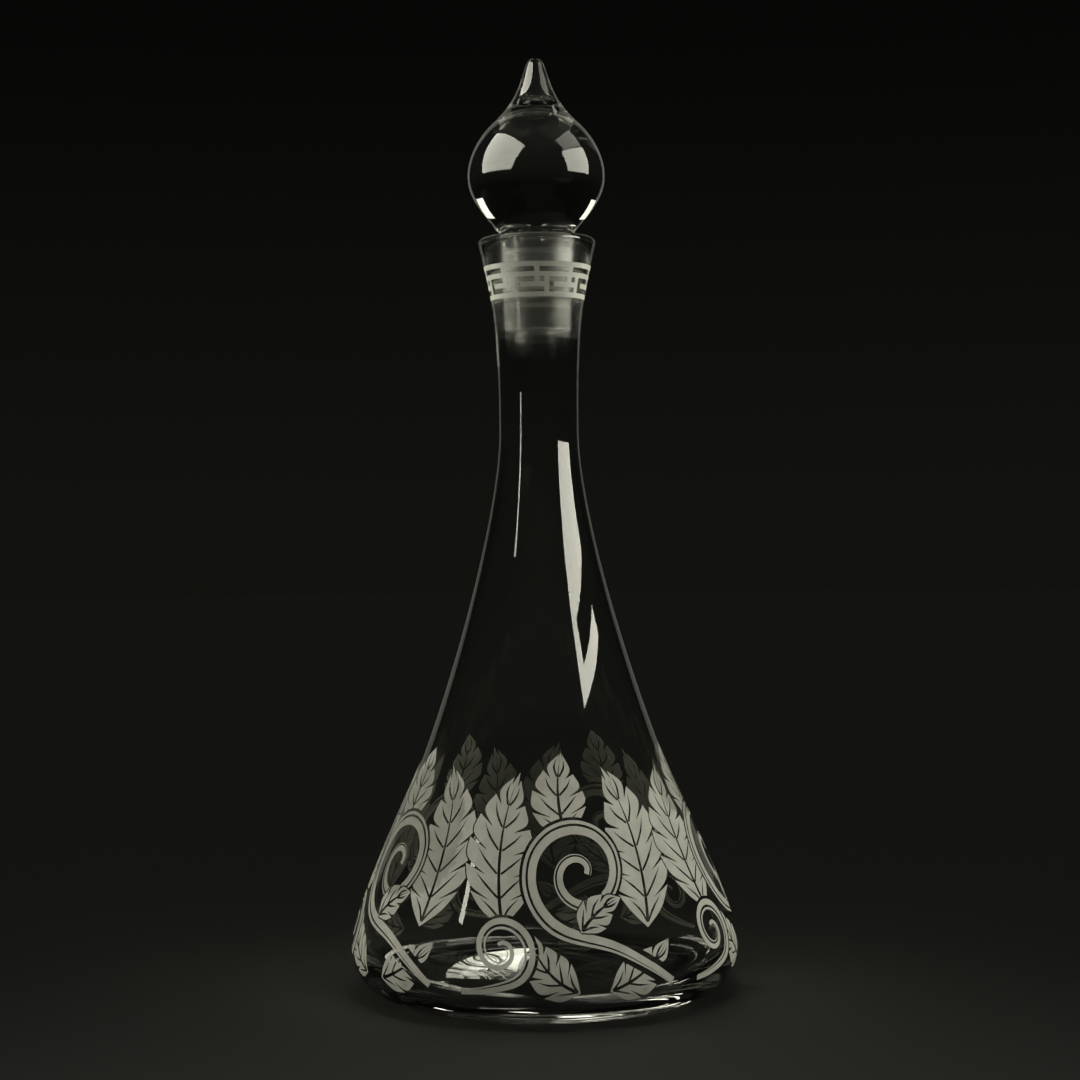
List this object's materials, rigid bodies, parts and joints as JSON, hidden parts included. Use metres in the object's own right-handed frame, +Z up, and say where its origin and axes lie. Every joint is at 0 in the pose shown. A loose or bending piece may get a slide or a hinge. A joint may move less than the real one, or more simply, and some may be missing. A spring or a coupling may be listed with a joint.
{
  "type": "wine decanter",
  "caption": "Tall conical clear glass decanter with a narrow neck, flared mouth, ground glass ball stopper with a pointed finial, and etched scroll and key-fret decoration.",
  "frame": {"origin": "centre of the resting ring under the bottle, on the common axis of bottle and stopper", "axes": "+Z up along that axis, from the resting ring to the stopper's finial"},
  "size_m": [0.1374, 0.1374, 0.3319],
  "materials": {
    "bottle_glass": "clear fire-polished",
    "stopper_glass": "clear polished, plug ground matte",
    "etched_glass": "sandblasted matte"
  },
  "bodies": {
    "bottle": {"bottle": "bottle_glass"},
    "stopper": {"stopper": "stopper_glass"}
  },
  "joints": [
    {"name": "stopper_lift", "type": "slide", "parent": "bottle", "child": "stopper", "axis": [0, 0, 1], "range_m": [0, 0.065]}
  ]
}
